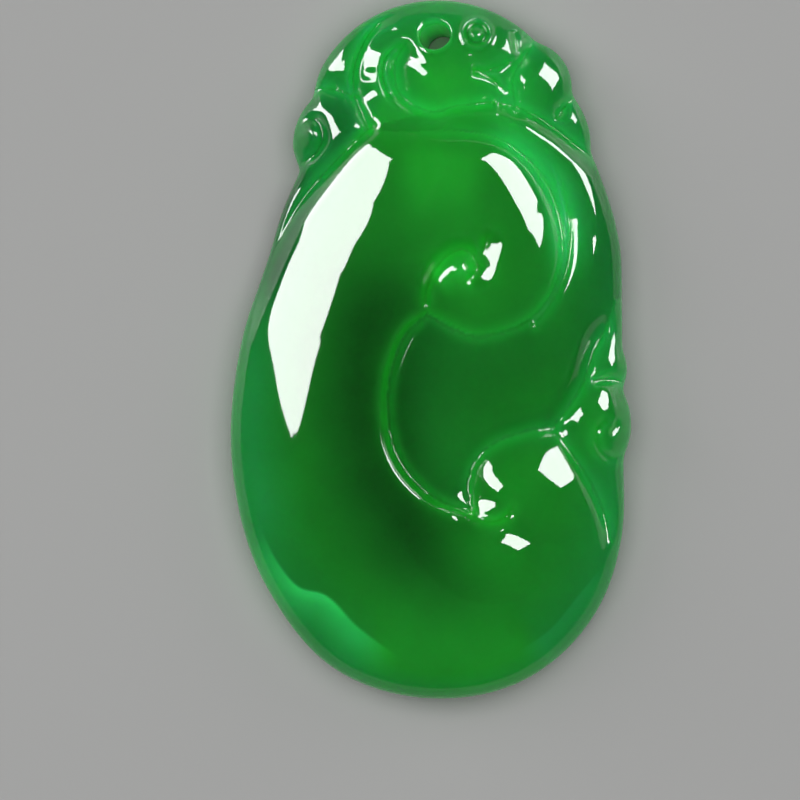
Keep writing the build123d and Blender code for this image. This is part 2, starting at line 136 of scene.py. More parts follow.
# Shores of the low leaf, in order round it: as above, with the side outside the leaf first, then the inside.
scrollWall = [(-0.3, 2.6), (-1.7, 1.4), (-2.6, -0.4), (-3.1, -2.6), (-3.1, -5.2), (-2.4, -7.7), (-0.8, -9.8),
              (1.0, -11.0), (2.9, -11.5)]
shores = [
    ("neckBand", 1.5, 5.0, 0.85, 2.0, 0.2, 0.3, 0,
     [(-4.5, 15.7), (-1.7, 15.5), (1.0, 15.6), (3.5, 15.4), (5.4, 14.7), (7.2, 13.2), (8.5, 11.2),
      (9.2, 8.8), (9.3, 6.4), (8.7, 4.4), (7.6, 2.8), (6.2, 1.8), (4.4, 1.2), (2.5, 1.2), (-0.3, 2.6)]),
    ("scrollWall", 1.7, 0.7, 0.9, 16.0, -1, 0, 0, scrollWall),
    ("lowerRoll", 1.9, 5.2, 0.75, 3.0, 0, 0, 0,
     [(2.9, -11.5), (2.7, -9.6), (3.2, -7.9), (4.7, -6.6), (7.0, -5.8), (8.7, -5.6)]),
    ("budStem", 1.5, 2.2, 0.8, 2.5, 0, 0, 0.3,
     [(8.7, -5.6), (10.0, -3.8), (10.9, -2.2), (11.6, 0.0), (12.5, 1.7), (13.1, 3.6)]),
]
leafClose = [(16.0, 3.6), (16.0, 14.0), (12.0, 14.0), (10.2, 14.7), (8.1, 16.3), (6.2, 17.3), (4.2, 17.7),
             (1.0, 17.2), (-4.5, 15.8)]
wallFoot = ("wallFoot", 1.6, 0.5, 0.6, 1.35, 0, 0.05, 0, scrollWall)

# Swellings, and a dip where the rise is below 0: name, x, y, long half, short half, turn, rise
knolls = [
    ("skull", 1.2, 20.0, 7.6, 4.6, 0, 1.0),
    ("cheek", 1.4, 18.8, 4.2, 3.4, 0, 0.7),
    ("temple", -0.6, 20.2, 4.6, 3.0, 0, 0.25),
    ("budCurl", 12.2, -5.3, 3.2, 2.6, 90, 0.7),
    ("maneKnob", -8.6, 15.4, 1.0, 1.0, 0, 0.35),
    ("lowerRoll", 7.2, -9.8, 4.8, 3.6, -35, 0.6),
    ("rollCollar", 3.0, -14.0, 5.4, 3.6, -30, 1.35),
    ("rollBud", 4.4, -11.0, 2.6, 2.6, 0, 0.35),
    ("voluteBud", 2.1, 5.6, 1.0, 0.9, 0, 0.25),
    ("shoulder", 1.5, 9.0, 9.5, 8.5, 90, 0.28),
    ("domeTop", -0.8, 12.5, 4.1, 3.2, 0, 0.28),
    ("flank", -5.2, -5.9, 8.5, 4.6, 90, 0.14),
    ("flange", 10.6, 3.5, 8.5, 4.5, 90, 0.4),
    ("flangeTop", 11.0, 12.0, 5.0, 2.2, -60, 0.35),
    ("underEye", 2.6, 20.2, 3.6, 1.7, 0, -0.2),
    ("jowl", 7.4, 18.4, 2.6, 2.6, 0, 0.2),
]

eye = {"at": (3.2, 22.6), "ball": 0.55, "ballRise": 0.35, "moat": 0.68, "moatDepth": 0.35,
       "lid": 1.03, "lidRise": 0.3, "lineWidth": 0.2}

bore = {
    "radius": 1.1,
    "mouth": (0.2, 22.4),          # its middle on the front
    "slant": (0.14, -0.22),        # drift for each mm down to the back
    "dip": 1.6, "dipDepth": 0.15,  # polished dip round the mouth
    "lip": 0.22,                   # rounding of its edge
    "lipGlow": 1.0, "wallGlow": 4.0,           # painted glow in its edge and its wall: lighter colour standing in for light that gathers there
    "patch": 32,                   # grid cells across the square that the mouth's rings replace
    "patchRings": 14, "lipRings": 5, "wallRings": 10,
}


def ease(value):                   # 3t^2 - 2t^3 between 0 and 1
    t = np.clip(value, 0, 1)
    return t * t * (3 - 2 * t)


def smoothLine(points, steps=14):
    # Catmull-Rom: on each span a cubic through its two points, whose slopes come from the points beside them
    p = np.array(points, float)
    p = np.vstack([2 * p[0] - p[1], p, 2 * p[-1] - p[-2]])
    t = np.linspace(0, len(p) - 3, (len(p) - 3) * steps + 1)
    k = np.minimum(t.astype(int), len(p) - 4)
    u = (t - k)[:, None]
    a, b, c, d = p[k], p[k + 1], p[k + 2], p[k + 3]
    return (2 * b + (c - a) * u + (2 * a - 5 * b + 4 * c - d) * u ** 2 + (3 * b - a - 3 * c + d) * u ** 3) / 2


def bodyRadius(angle):
    # Hermite cubics in the angle through the outline's rows, closed on themselves
    table = np.array(pendant["outline"], float)
    knots = np.radians(table[:, 0])
    knots = np.concatenate([knots - 2 * np.pi, knots, knots + 2 * np.pi])
    radius = np.tile(table[:, 1], 3)
    slope = np.gradient(radius, knots)
    angle = np.mod(angle, 2 * np.pi)
    k = np.clip(np.searchsorted(knots, angle, side="right") - 1, 0, len(knots) - 2)
    step = knots[k + 1] - knots[k]
    u = (angle - knots[k]) / step
    start = (1 + 2 * u) * (1 - u) ** 2 * radius[k] + u * (1 - u) ** 2 * step * slope[k]
    return start + u * u * (3 - 2 * u) * radius[k + 1] + u * u * (u - 1) * step * slope[k + 1]


def lobeRadius(angle, lobe):
    # where the ray from the hub leaves the ellipse: the larger root of |p + r q| = 1 in the ellipse's axes.
    # Beside the ellipse it falls off steeply, so that the outline has no jump
    _, x, y, long, short, turn = lobe
    cos, sin = np.cos(np.radians(turn)), np.sin(np.radians(turn))
    awayX, awayY = pendant["hub"][0] - x, pendant["hub"][1] - y
    px, py = (awayX * cos + awayY * sin) / long, (-awayX * sin + awayY * cos) / short
    qx = (np.cos(angle) * cos + np.sin(angle) * sin) / long
    qy = (-np.cos(angle) * sin + np.sin(angle) * cos) / short
    square = qx ** 2 + qy ** 2
    half = px * qx + py * qy
    root = half ** 2 - square * (px ** 2 + py ** 2 - 1)
    beside = np.where(root > 0, 1, -pendant["lobeFall"])
    return (beside * np.sqrt(np.abs(root)) - half) / square


def outlineRadius(angle, line="rim"):
    # the largest of the body and the lobes, as a soft maximum: s * log(sum of exp(r / s)). It is taken at
    # even angles, averaged over a narrow bell of them, so that no notch is too steep for the grid, and read
    # between them
    soft, spread = pendant[line]
    count = pendant["outlineSteps"]
    even = np.arange(count) * 2 * np.pi / count
    reach = np.array([bodyRadius(even)] + [lobeRadius(even, lobe) for lobe in pendant["lobes"]])
    top = reach.max(axis=0)
    radius = top + soft * np.log(np.exp((reach - top) / soft).sum(axis=0))
    wide = int(3 * spread / even[1])
    bell = np.exp(-(np.arange(-wide, wide + 1) * even[1] / spread) ** 2 / 2)
    radius = np.convolve(radius[np.arange(-wide, count + wide) % count], bell / bell.sum(), "valid")
    return np.interp(angle, even, radius, period=2 * np.pi)


def outlinePoints(line="rim"):     # hub + radius * (cos, sin) at even angles
    angle = np.linspace(0, 2 * np.pi, pendant["outlinePoints"], endpoint=False)
    radius = outlineRadius(angle, line)[:, None]
    return np.array(pendant["hub"]) + radius * np.stack([np.cos(angle), np.sin(angle)], 1)


def pathGap(path, x, y):
    # distance to the path, which side of it (1 on the left, -1 on the right, between beyond its ends: the
    # sine of the angle at its end) and how far along it from 0 to 1
    start, run = path[:-1], np.diff(path, axis=0)
    length = np.hypot(run[:, 0], run[:, 1])
    before = np.cumsum(length) - length
    best, side, along = np.full(x.shape, np.inf), np.zeros(x.shape), np.zeros(x.shape)
    for (ax, ay), (rx, ry), long, done in zip(start, run, length, before):
        dx, dy = x - ax, y - ay
        u = np.clip((dx * rx + dy * ry) / long ** 2, 0, 1)
        gap = np.hypot(dx - u * rx, dy - u * ry)
        near = gap < best
        best = np.where(near, gap, best)
        side = np.where(near, (rx * dy - ry * dx) / (long * np.maximum(gap, 1e-9)), side)
        along = np.where(near, (done + u * long) / length.sum(), along)
    return best, side, along


def insidePolygon(polygon, x, y):  # odd number of sides crossed by a ray along x
    odd = np.zeros(x.shape, bool)
    for (ax, ay), (bx, by) in zip(polygon, np.roll(polygon, -1, axis=0)):
        if ay != by:
            odd ^= ((ay > y) != (by > y)) & (x < (bx - ax) * (y - ay) / (by - ay) + ax)
    return odd


def sideProfile(gap, reach, shape):
    # 1 on the line and 0 at its reach: blend of a quarter circle (cushion) and a power (hollow), or a slope
    u = np.clip(1 - gap / reach, 0, 1)
    if shape < 0:
        return u ** pendant["slopePower"]
    return (1 - shape) * u ** pendant["hollowPower"] + shape * (1 - np.sqrt(1 - u * u))


def lineDepth(row, side, gap, along):
    # depth times the sides' profiles, blended by the side, with the gap rounded as a hyperbola; and a painted
    # glow, lighter colour for light gathering beside the line, that falls off as a bell to both sides. Both
    # are eased out at the ends
    _, depth, reachA, shapeA, reachB, shapeB, fadeIn, fadeOut, _ = row
    blunt = np.hypot(gap, pendant["polish"]) - pendant["polish"]
    first, second = sideProfile(blunt, reachA, shapeA), sideProfile(blunt, reachB, shapeB)
    cut = depth * (second + (first - second) * ease((side + 1) / 2))
    glow = min(depth, pendant["glowDepth"]) * np.exp(-(gap / pendant["glowReach"]) ** 2)
    if fadeIn:
        cut, glow = cut * ease(along / fadeIn), glow * ease(along / fadeIn)
    if fadeOut:
        cut, glow = cut * ease((1 - along) / fadeOut), glow * ease((1 - along) / fadeOut)
    return cut, glow


def cutOfLine(row, x, y, low=None):
    # the line's depth and glow where it reaches; the first side is the path's left, or for a shore outside
    # the leaf. The glow is nothing past 2.5 of its reaches
    path = smoothLine(row[-1])
    reach = max(row[2], row[4], 2.5 * pendant["glowReach"])
    lowest, highest = path.min(0) - reach, path.max(0) + reach
    near = (x > lowest[0]) & (x < highest[0]) & (y > lowest[1]) & (y < highest[1])
    gap, side, along = pathGap(path, x[near], y[near])
    both = np.zeros((2, *x.shape))
    if low is not None:
        side = np.where(low[near], -1, 1)
    both[:, near] = lineDepth(row, side, gap, along)
    return both


def carving(x, y):
    # cube roots of the sums of the lines' cubed depths and cubed glows, so that they merge smoothly
    leaf = np.vstack([smoothLine(shore[-1]) for shore in shores] + [np.array(leafClose)])
    low = insidePolygon(leaf, x, y)
    cubes = sum(cutOfLine(groove, x, y) ** 3 for groove in grooves)
    cubes = cubes + sum(cutOfLine(shore, x, y, low) ** 3 for shore in shores + [wallFoot])
    return np.cbrt(cubes)


def rimGap(x, y, line):
    # distance to the outline: its nearest point is found first, then the nearer of the two sides that meet
    # there
    points = outlinePoints(line)
    best, nearest = np.full(x.shape, np.inf), np.zeros(x.shape, int)
    for k, (ox, oy) in enumerate(points):
        square = (x - ox) ** 2 + (y - oy) ** 2
        near = square < best
        best = np.where(near, square, best)
        nearest = np.where(near, k, nearest)
    at = points[nearest]
    for other in (nearest - 1, (nearest + 1) % len(points)):
        run = points[other] - at
        u = ((x - at[..., 0]) * run[..., 0] + (y - at[..., 1]) * run[..., 1]) / (run ** 2).sum(-1)
        spot = at + run * np.clip(u, 0, 1)[..., None]
        best = np.minimum(best, (x - spot[..., 0]) ** 2 + (y - spot[..., 1]) ** 2)
    return np.sqrt(best)


def frontHeight(x, y):
    # rounded rim + dome - carving + knolls + eye - dip of the cord hole; also the lines' glow
    p = pendant
    gap = np.maximum(rimGap(x, y, "rim") - p["polishedAway"], 0)
    domeGap = rimGap(x, y, "dome")
    head = ease((y - p["headFrom"]) / (p["headTo"] - p["headFrom"]))
    rise = p["bodyRise"] + (p["headRise"] - p["bodyRise"]) * head
    reach = p["bodyReach"] + (p["headReach"] - p["bodyReach"]) * head
    rim = p["rimRound"] * np.sqrt(1 - np.exp(-2 * gap / p["rimRound"]))
    dome = rise * (1 - np.clip(1 - domeGap / reach, 0, 1) ** p["domePower"])
    carved, glow = carving(x, y)
    cutShare = p["rimCut"] + (1 - p["rimCut"]) * ease(gap / p["rimCutReach"])
    height = p["widestHeight"] - p["polishedAway"] + rim + dome - carved * cutShare
    for _, kx, ky, long, short, turn, up in knolls:
        cos, sin = np.cos(np.radians(turn)), np.sin(np.radians(turn))
        u = ((x - kx) * cos + (y - ky) * sin) / long
        v = ((y - ky) * cos - (x - kx) * sin) / short
        height = height + up * np.clip(1 - u * u - v * v, 0, 1) ** 1.5
    r = np.hypot(x - eye["at"][0], y - eye["at"][1])
    height = height + eye["ballRise"] * np.sqrt(np.clip(1 - (r / eye["ball"]) ** 2, 0, 1))
    height = height - eye["moatDepth"] * np.exp(-((r - eye["moat"]) / eye["lineWidth"]) ** 2)
    height = height + eye["lidRise"] * np.exp(-((r - eye["lid"]) / eye["lineWidth"]) ** 2)
    r = np.hypot(x - bore["mouth"][0], y - bore["mouth"][1])
    height = height - bore["dipDepth"] * np.clip(1 - (r / bore["dip"]) ** 2, 0, 1) ** 1.5
    return height, glow


def discGrid(cells):
    # a square grid bent to a disc, x = a sqrt(1 - b^2 / 2) and the same for y, then drawn out to the outline,
    # with more of the disc's angles for the long sides. Inside, it follows the outline averaged over a bell
    # of angles, so that the notches don't crease the grid
    crowd = pendant["edgeCrowding"]
    across, upward = [np.sin(np.linspace(-1, 1, n + 1) * crowd) / np.sin(crowd) for n in cells]
    a, b = np.meshgrid(across, upward, indexing="ij")
    discX, discY = a * np.sqrt(1 - b * b / 2), b * np.sqrt(1 - a * a / 2)
    angle = np.arctan2(discY * 2, discX)
    share = np.hypot(discX, discY)
    sharp = outlineRadius(angle) - pendant["polishedAway"]
    offsets = np.linspace(-2.5, 2.5, 11)
    spread = [outlineRadius(angle + pendant["gridSoftness"] * k, "dome") for k in offsets]
    soft = np.average(spread, axis=0, weights=np.exp(-offsets ** 2 / 2))
    radius = share * (soft + (sharp - soft) * share ** 4)
    return pendant["hub"][0] + radius * np.cos(angle), pendant["hub"][1] + radius * np.sin(angle)


def squareLoop(i0, i1, j0, j1):    # grid places round a block, counter-clockwise from its lower left corner
    i = [np.arange(i0, i1), np.full(j1 - j0, i1), np.arange(i1, i0, -1), np.full(j1 - j0, i0)]
    j = [np.full(i1 - i0, j0), np.arange(j0, j1), np.full(i1 - i0, j1), np.arange(j1, j0, -1)]
    return np.concatenate(i), np.concatenate(j)


def borePatch(x, y, cells, at):    # block of grid cells whose middle is nearest to the cord hole
    i, j = np.unravel_index(np.argmin((x - at[0]) ** 2 + (y - at[1]) ** 2), x.shape)
    return i - cells // 2, i + cells // 2, j - cells // 2, j + cells // 2


class Stone:
    # the mesh as it grows: points, faces and the two values that the colour reads
    def __init__(self):
        self.points, self.quads, self.thirds, self.values, self.count = [], [], [], [], 0

    def add(self, x, y, z, thick, glow):
        shape = np.broadcast(x, y, z).shape
        rows = [np.broadcast_to(v, shape).reshape(-1) for v in (x, y, z, thick, glow)]
        self.points.append(np.stack(rows[:3], 1))
        self.values.append(np.stack(rows[3:], 1))
        names = self.count + np.arange(rows[0].size).reshape(shape)
        self.count += rows[0].size
        return names

    def band(self, outer, inner):  # quads between two loops that run the same way round
        self.quads.append(np.stack([outer, np.roll(outer, -1), np.roll(inner, -1), inner], 1))

    def halve(self, fine, coarse, outward):
        # three triangles on each step of the coarse loop, which has half as many points as the fine one
        first, middle, last = fine[0::2], fine[1::2], np.roll(fine[0::2], -1)
        after = np.roll(coarse, -1)
        faces = [(first, middle, coarse), (middle, after, coarse), (middle, last, after)]
        for a, b, c in faces:
            self.thirds.append(np.stack([a, b, c] if outward else [a, c, b], 1))


def gridFaces(names, keep, upward):        # quads of the cells that are kept
    a, b, c, d = names[:-1, :-1], names[1:, :-1], names[1:, 1:], names[:-1, 1:]
    faces = np.stack([a, b, c, d] if upward else [a, d, c, b], -1)
    return faces[keep]


def boreRing(start, count, height, mouthHeight, radius):
    # ellipse round the slanted axis at a height: its long half, along the slant, is the radius / cos(slant)
    (mx, my), (sx, sy) = bore["mouth"], bore["slant"]
    lean = np.hypot(sx, sy)
    angle = start + np.arange(count) * 2 * np.pi / count
    across, along = radius * np.cos(angle), radius * np.sin(angle)
    ux, uy = sx / lean, sy / lean
    stretch = np.sqrt(1 + lean ** 2)
    down = mouthHeight - height
    onSlant = (across * ux + along * uy) * (stretch - 1)
    return mx + sx * down + across + onSlant * ux, my + sy * down + along + onSlant * uy


def buildStone():
    # front, mouth of the hole, edge, back and hole, each joined to the border of the last, then moved so that
    # the middle of the outline is at 0
    stone = Stone()
    cells = pendant["cells"]
    outline = outlinePoints()
    midX, midY = (outline.min(0) + outline.max(0)) / 2
    mouthHeight = frontHeight(*[np.array([v]) for v in bore["mouth"]])[0][0]
    corner = np.radians(-135)      # loops start at their lower left

    # front: grid without the block round the cord hole
    x, y = discGrid(cells)
    z, glow = frontHeight(x, y)
    front = stone.add(x, y, z, z, glow)
    i0, i1, j0, j1 = borePatch(x, y, bore["patch"], bore["mouth"])
    keep = np.ones(cells, bool)
    keep[i0:i1, j0:j1] = False
    stone.quads.append(gridFaces(front, keep, True))

    # mouth: rings from the block's edge to the circle, then a quarter turn into the hole
    li, lj = squareLoop(i0, i1, j0, j1)
    last = front[li, lj]
    lip = bore["lip"]
    ringX, ringY = boreRing(corner, len(last), mouthHeight, mouthHeight, bore["radius"] + lip)
    for step in np.linspace(0, 1, bore["patchRings"] + 1)[1:]:
        rx, ry = x[li, lj] * (1 - step) + ringX * step, y[li, lj] * (1 - step) + ringY * step
        rz, rGlow = frontHeight(rx, ry)
        ring = stone.add(rx, ry, rz, rz, rGlow)
        stone.band(last, ring)
        last = ring
    edge = rz
    for turn in np.linspace(0, np.pi / 2, bore["lipRings"] + 1)[1:]:
        rz = edge - lip * (1 - np.cos(turn))
        radius = bore["radius"] + lip * (1 - np.sin(turn))
        rx, ry = boreRing(corner, len(last), rz, mouthHeight, radius)
        ring = stone.add(rx, ry, rz, edge, bore["lipGlow"])
        stone.band(last, ring)
        last = ring
    frontTop, frontLoop = rz, last

    # back's rounded edge: quarter turns inwards and down, the last ring with half the points
    ri, rj = squareLoop(0, cells[0], 0, cells[1])
    last = front[ri, rj]
    edgeX, edgeY, edgeZ = x[ri, rj], y[ri, rj], z[ri, rj]
    outX, outY = edgeX - pendant["hub"][0], edgeY - pendant["hub"][1]
    far = np.hypot(outX, outY)
    for k in range(1, pendant["backRings"]):
        turn = np.pi / 2 * k / pendant["backRings"]
        inset = pendant["backRound"] * (1 - np.cos(turn))
        scale = (far - inset) / far
        rx, ry = pendant["hub"][0] + outX * scale, pendant["hub"][1] + outY * scale
        ring = stone.add(rx, ry, edgeZ * (1 - np.sin(turn)), edgeZ, 0)
        stone.band(ring, last)
        last = ring

    # back: the same grid with half the cells, drawn in by the rounded edge
    half = (cells[0] // 2, cells[1] // 2)
    bx, by = discGrid(half)
    bz, _ = frontHeight(bx, by)
    rim = outlineRadius(np.arctan2(by - pendant["hub"][1], bx - pendant["hub"][0]))
    shrink = (rim - pendant["backRound"]) / rim
    bx = pendant["hub"][0] + (bx - pendant["hub"][0]) * shrink
    by = pendant["hub"][1] + (by - pendant["hub"][1]) * shrink
    back = stone.add(bx, by, 0.0, bz, 0)
    foot = np.array(bore["mouth"]) + np.array(bore["slant"]) * mouthHeight
    i0, i1, j0, j1 = borePatch(bx, by, bore["patch"] // 2, foot)
    keep = np.ones(half, bool)
    keep[i0:i1, j0:j1] = False
    stone.quads.append(gridFaces(back, keep, False))
    hi, hj = squareLoop(0, half[0], 0, half[1])
    stone.halve(last, back[hi, hj], False)

    # hole's lower end: rings from the block to the circle, then up the slanted wall to the mouth
    li, lj = squareLoop(i0, i1, j0, j1)
    last = back[li, lj]
    ringX, ringY = boreRing(corner, len(last), 0.0, mouthHeight, bore["radius"] + lip)
    for step in np.linspace(0, 1, bore["patchRings"] // 2 + 1)[1:]:
        rx, ry = bx[li, lj] * (1 - step) + ringX * step, by[li, lj] * (1 - step) + ringY * step
        ring = stone.add(rx, ry, 0.0, bz[li, lj], 0)
        stone.band(ring, last)
        last = ring
    for turn in np.linspace(0, np.pi / 2, bore["lipRings"] + 1)[1:]:
        rz = lip * (1 - np.cos(turn))
        rx, ry = boreRing(corner, len(last), rz, mouthHeight, bore["radius"] + lip * (1 - np.sin(turn)))
        ring = stone.add(rx, ry, rz, bz[li, lj], 0)
        stone.band(ring, last)
        last = ring
    topZ = frontTop[0::2]
    for step in np.linspace(0, 1, bore["wallRings"] + 1)[1:-1]:
        rz = lip + (topZ - lip) * step
        rx, ry = boreRing(corner, len(last), rz, mouthHeight, bore["radius"])
        ring = stone.add(rx, ry, rz, bz[li, lj], bore["wallGlow"])
        stone.band(ring, last)
        last = ring
    stone.halve(frontLoop, last, True)
    points = np.vstack(stone.points) - (midX, midY, 0)
    return points, np.vstack(stone.quads), np.vstack(stone.thirds), np.vstack(stone.values)


# Colour of the stone. Lightness and coolness run from 0 to 1; thin stone is cooler, and carved lines and
# steep
# sides get a painted glow: lighter colour that stands in for light gathering there.
stoneTone = {
    "lightness": 0.37, "inLeaf": -0.08,
    "lineGlow": 0.2,
    "warmAt": 7.0, "coolAt": 3.0,      # mm of thickness
    "steepFrom": 0.75, "steepTo": 1.0, "steepGlow": 0.12,      # sine of the slope; steepGlow is a painted glow on steep sides, lighter colour for light coming through them
}

# Bands of lighter or darker, cooler or warmer colour along paths: name, change of lightness, of coolness,
# reach to the left of the path and to the right, share of the length over which each end fades, path. Some
# are
# painted light: the glow band beside the neck's groove and the glows inside the lower left and right rim.
tonesAndPaintedGlows = [
    ("darkHeart", -0.23, -0.3, 3.4, 4.2, 0.25,
     [(-1.2, 9.5), (-2.6, 5.5), (-4.2, 1.0), (-4.7, -4.0), (-3.7, -9.0), (-1.2, -13.0), (2.0, -15.0),
      (6.0, -15.5)]),
    # painted glow: a light band beside the neck's groove, lighter and cooler colour for light its wall sends
    # in
    ("paintedGlowBand", 0.43, 0.8, 1.6, 1.0, 0.3,
     [(3.0, 15.4), (5.4, 14.7), (7.2, 13.2), (8.5, 11.2), (9.2, 8.8), (9.3, 6.4), (8.7, 4.4)]),
    ("paleNeck", 0.17, 0, 3.0, 2.0, 0.2, [(-6.0, 16.5), (-1.0, 17.2), (4.0, 17.2), (8.0, 15.5)]),
    ("paleHead", 0.05, 0.1, 3.0, 3.0, 0.2, [(-4.0, 20.5), (0.0, 20.5), (5.0, 20.5), (8.0, 19.5)]),
    ("crown", 0.12, 0.3, 1.0, 1.5, 0.2, [(-6.0, 23.0), (0.0, 25.0), (5.0, 24.0)]),
    ("domeTop", 0.16, 0, 2.4, 2.8, 0.3, [(-3.0, 12.5), (0.6, 12.6), (4.5, 12.0)]),
    ("voluteCurl", 0.25, 0.2, 1.2, 1.2, 0.2, [(0.0, 4.8), (1.5, 5.6), (3.4, 5.6)]),
    ("brightFoot", 0.08, -0.6, 3.0, 3.0, 0.2, [(-5.0, -20.0), (0.0, -22.5), (5.0, -22.0), (8.0, -19.5)]),
    ("leftEdge", 0.08, 0.4, 2.2, 4.5, 0.25, [(-12.5, 2.0), (-13.5, -3.0), (-13.0, -9.0), (-11.0, -15.0)]),
    ("darkShoulder", -0.3, 0.5, 1.7, 1.7, 0.35, [(-7.5, 14.0), (-9.5, 12.0), (-11.5, 8.0), (-13.0, 2.0)]),
    # painted glows: lighter, cooler colour inside the lower left rim, with a brighter knot, for light through
    # the stone
    ("lowerLeftGleam", 0.38, 0.7, 0.12, 1.7, 0.3,
     [(-12.5, -12.2), (-11.1, -15.1), (-9.5, -17.0), (-7.4, -17.7), (-5.2, -19.9), (-1.8, -22.4)]),
    ("gleamKnot", 0.35, 0.2, 0.12, 0.5, 0.5, [(-11.1, -15.1), (-9.5, -17.0), (-7.4, -17.7), (-5.2, -19.9)]),
    # painted glow, weaker, inside the lower right rim
    ("lowerRightGleam", 0.08, 0.45, 1.3, 0.12, 0.25,
     [(12.6, -15.2), (10.6, -17.6), (8.6, -20.0), (6.0, -21.8)]),
    ("knobShade", -0.14, 1.0, 2.2, 2.2, 0.25, [(-9.4, 15.5), (-7.0, 15.6), (-5.5, 14.5)]),
]


def toneOfStone(x, y, thick, glow):
    # lightness: an even value, plus each band's change times a bell of the distance from its path (some of
    # them painted glows), plus the lines' painted glow; coolness: 1 where the stone is thin, changed by the
    # bands in the same way
    tone = stoneTone
    light = tone["lightness"] + tone["lineGlow"] * glow
    cool = ease((tone["warmAt"] - thick) / (tone["warmAt"] - tone["coolAt"]))
    leaf = np.vstack([smoothLine(shore[-1]) for shore in shores] + [np.array(leafClose)])
    light = light + tone["inLeaf"] * insidePolygon(leaf, x, y)
    for _, lighter, cooler, left, right, fade, path in tonesAndPaintedGlows:
        gap, side, along = pathGap(smoothLine(path), x, y)
        bell = np.exp(-(gap / np.where(side > 0, left, right)) ** 2)
        share = bell * ease(np.minimum(along, 1 - along) / fade)
        light, cool = light + lighter * share, cool + cooler * share
    return light, np.clip(cool, 0, 1)


def stoneMesh():
    # the points' two values for the colour are added here, with a painted glow on steep sides; the slope is
    # the sine of the normal's tilt
    points, quads, thirds, values = buildStone()
    mesh = bpy.data.meshes.new("ruyiPendant")
    mesh.vertices.add(len(points))
    mesh.vertices.foreach_set("co", (points * mm).ravel())
    corners = np.concatenate([quads.ravel(), thirds.ravel()])
    starts = np.concatenate([np.arange(len(quads)) * 4, len(quads) * 4 + np.arange(len(thirds)) * 3])
    mesh.loops.add(len(corners))
    mesh.loops.foreach_set("vertex_index", corners)
    mesh.polygons.add(len(starts))
    mesh.polygons.foreach_set("loop_start", starts)
    mesh.update(calc_edges=True)
    mesh.validate()
    mesh.shade_smooth()
    normals = np.empty(3 * len(points), np.float32)
    mesh.vertex_normals.foreach_get("vector", normals)
    slope = np.sqrt(1 - np.clip(normals.reshape(-1, 3)[:, 2], -1, 1) ** 2)
    thick, glow = values.T
    light, cool = toneOfStone(points[:, 0], points[:, 1], thick, glow)
    # painted glow: steep sides are made lighter, standing in for light that comes through them
    steep = (slope - stoneTone["steepFrom"]) / (stoneTone["steepTo"] - stoneTone["steepFrom"])
    light = light + stoneTone["steepGlow"] * ease(steep)
    for name, column in (("lightness", light), ("coolness", cool)):
        mesh.attributes.new(name, "FLOAT", "POINT").data.foreach_set("value", column.astype(np.float32))
    print("stone:", len(points), "points,", 2 * len(quads) + len(thirds), "triangles")
    return mesh


stoneLook = {
    "warm": (0.050, 1.0, 0.084),           # of a lightness of 1
    "cool": (0.056, 1.0, 0.205),
    "cloudSize": 230.0, "cloudStrength": 0.10,
    "fleckSize": 2600.0, "fleckStrength": 0.03,
    "rippleSize": 160.0, "ripple": 0.00001,    # per m, and m high: the polish isn't quite even
    "gloss": 0.03,
    "index": 1.6,
    "scatter": (0.0012, 0.0080, 0.0025),   # m, how far red, green and blue light spread
}


def node(tree, kind, at, **inputs):        # new node at a place in the editor, with the inputs' values
    made = tree.nodes.new(kind)
    made.location = at
    for name, value in inputs.items():
        made.inputs[name].default_value = value
    return made


def stoneMaterial():
    # colour = lightness, clouded by two sizes of noise, times a mix of the warm and the cool green
    look = stoneLook
    material = bpy.data.materials.new("polishedChalcedony")
    material.use_nodes = True
    tree = material.node_tree
    link = tree.links.new
    shader = tree.nodes["Principled BSDF"]
    shader.inputs["Roughness"].default_value = look["gloss"]
    shader.inputs["IOR"].default_value = look["index"]
    shader.inputs["Subsurface Weight"].default_value = 1.0
    shader.inputs["Subsurface Scale"].default_value = 1.0
    shader.inputs["Subsurface Radius"].default_value = look["scatter"]

    place = node(tree, "ShaderNodeTexCoord", (-1500, -100))
    lightness = node(tree, "ShaderNodeAttribute", (-1100, 300))
    lightness.attribute_name = "lightness"
    coolness = node(tree, "ShaderNodeAttribute", (-700, 400))
    coolness.attribute_name = "coolness"
    noise = "ShaderNodeTexNoise"
    cloud = node(tree, noise, (-1300, 100), Scale=look["cloudSize"], Detail=3.0, Roughness=0.5)
    fleck = node(tree, noise, (-1300, -150), Scale=look["fleckSize"], Detail=2.0, Roughness=0.6)
    shade = lightness.outputs["Fac"]
    layers = ((cloud, look["cloudStrength"], -1000), (fleck, look["fleckStrength"], -800))
    for texture, strength, across in layers:
        link(place.outputs["Object"], texture.inputs["Vector"])
        around = node(tree, "ShaderNodeMath", (across, 0))
        around.operation = "SUBTRACT"
        around.inputs[1].default_value = 0.5
        link(texture.outputs["Fac"], around.inputs[0])
        total = node(tree, "ShaderNodeMath", (across + 100, 200))
        total.operation = "MULTIPLY_ADD"
        total.inputs[1].default_value = strength
        link(around.outputs["Value"], total.inputs[0])
        link(shade, total.inputs[2])
        shade = total.outputs["Value"]
    tint = node(tree, "ShaderNodeMix", (-450, 350))
    tint.data_type = "RGBA"
    tint.inputs[6].default_value = (*look["warm"], 1)
    tint.inputs[7].default_value = (*look["cool"], 1)
    link(coolness.outputs["Fac"], tint.inputs[0])
    colour = node(tree, "ShaderNodeVectorMath", (-250, 200))
    colour.operation = "SCALE"
    link(tint.outputs[2], colour.inputs[0])
    link(shade, colour.inputs["Scale"])
    link(colour.outputs["Vector"], shader.inputs["Base Color"])

    wave = node(tree, noise, (-700, -300), Scale=look["rippleSize"], Detail=1.0)
    link(place.outputs["Object"], wave.inputs["Vector"])
    bump = node(tree, "ShaderNodeBump", (-400, -300), Strength=1.0, Distance=look["ripple"])
    link(wave.outputs["Fac"], bump.inputs["Height"])
    link(bump.outputs["Normal"], shader.inputs["Normal"])
    return material


